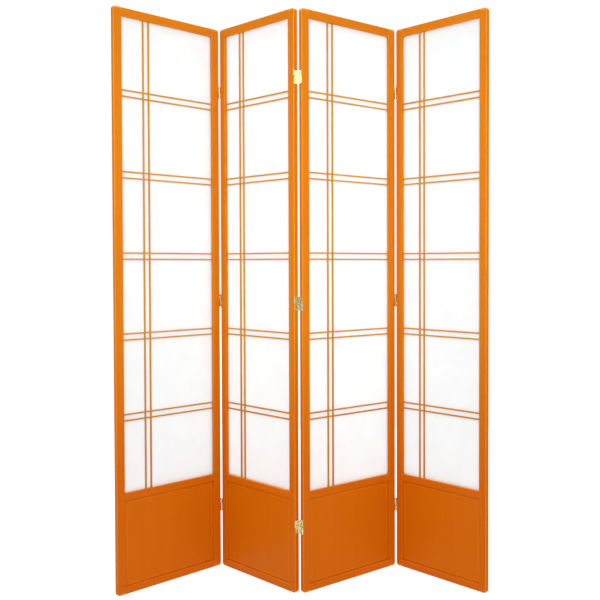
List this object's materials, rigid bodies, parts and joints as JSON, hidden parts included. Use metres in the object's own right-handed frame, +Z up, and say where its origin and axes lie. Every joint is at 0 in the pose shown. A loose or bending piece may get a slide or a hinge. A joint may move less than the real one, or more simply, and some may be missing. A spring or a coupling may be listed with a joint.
{
  "type": "folding shoji screen",
  "caption": "Free-standing shoji room divider: honey-stained wood frames with an offset double-line lattice over white paper, kick panels and two-way brass hinges.",
  "frame": {"origin": "centre of the zigzag's footprint, on the floor", "axes": "+Z up; +X along the screen from panel 1 to panel 4, so that its two free edges stand on one line along X; +Y from the latticed front to the back"},
  "size_m": [1.362, 0.3282, 2.134],
  "materials": {
    "honey_wood": "satin",
    "shoji_paper": "matte, lets light through",
    "hinge_brass": "polished",
    "pin_steel": "brass-plated"
  },
  "bodies": {
    "panel_1": {"stile_left_1": "honey_wood", "stile_right_1": "honey_wood", "top_rail_1": "honey_wood", "mid_rail_1": "honey_wood", "bottom_rail_1": "honey_wood", "kick_panel_1": "honey_wood", "lattice_uprights_1": "honey_wood", "lattice_bars_1": "honey_wood", "paper_1": "shoji_paper", "paper_stops_1": "honey_wood", "hinge_pins_1": "pin_steel", "hinge_screws_1": "hinge_brass", "hinge_leaf_left_12": "hinge_brass", "hinge_link_lower_12": "hinge_brass"},
    "panel_2": {"stile_left_2": "honey_wood", "stile_right_2": "honey_wood", "top_rail_2": "honey_wood", "mid_rail_2": "honey_wood", "bottom_rail_2": "honey_wood", "kick_panel_2": "honey_wood", "lattice_uprights_2": "honey_wood", "lattice_bars_2": "honey_wood", "paper_2": "shoji_paper", "paper_stops_2": "honey_wood", "hinge_pins_2": "pin_steel", "hinge_screws_2": "hinge_brass", "hinge_leaf_right_12": "hinge_brass", "hinge_link_upper_12": "hinge_brass", "hinge_leaf_left_23": "hinge_brass", "hinge_link_upper_23": "hinge_brass"},
    "panel_3": {"stile_left_3": "honey_wood", "stile_right_3": "honey_wood", "top_rail_3": "honey_wood", "mid_rail_3": "honey_wood", "bottom_rail_3": "honey_wood", "kick_panel_3": "honey_wood", "lattice_uprights_3": "honey_wood", "lattice_bars_3": "honey_wood", "paper_3": "shoji_paper", "paper_stops_3": "honey_wood", "hinge_pins_3": "pin_steel", "hinge_screws_3": "hinge_brass", "hinge_leaf_right_23": "hinge_brass", "hinge_link_lower_23": "hinge_brass", "hinge_leaf_left_34": "hinge_brass", "hinge_link_lower_34": "hinge_brass"},
    "panel_4": {"stile_left_4": "honey_wood", "stile_right_4": "honey_wood", "top_rail_4": "honey_wood", "mid_rail_4": "honey_wood", "bottom_rail_4": "honey_wood", "kick_panel_4": "honey_wood", "lattice_uprights_4": "honey_wood", "lattice_bars_4": "honey_wood", "paper_4": "shoji_paper", "paper_stops_4": "honey_wood", "hinge_pins_4": "pin_steel", "hinge_screws_4": "hinge_brass", "hinge_leaf_right_34": "hinge_brass", "hinge_link_upper_34": "hinge_brass"}
  },
  "joints": [
    {"name": "fold_12", "type": "hinge", "parent": "panel_1", "child": "panel_2", "pos_m": [-0.35658, 0.14957, 0], "axis": [0, 0, -1], "range_deg": [-86.9, 93.1]},
    {"name": "fold_23", "type": "hinge", "parent": "panel_2", "child": "panel_3", "pos_m": [-0.01258, -0.13186, 0], "axis": [0, 0, 1], "range_deg": [-81.3, 97.7]},
    {"name": "fold_34", "type": "hinge", "parent": "panel_3", "child": "panel_4", "pos_m": [0.34305, 0.13472, 0], "axis": [0, 0, -1], "range_deg": [-81.8, 98.2]}
  ]
}
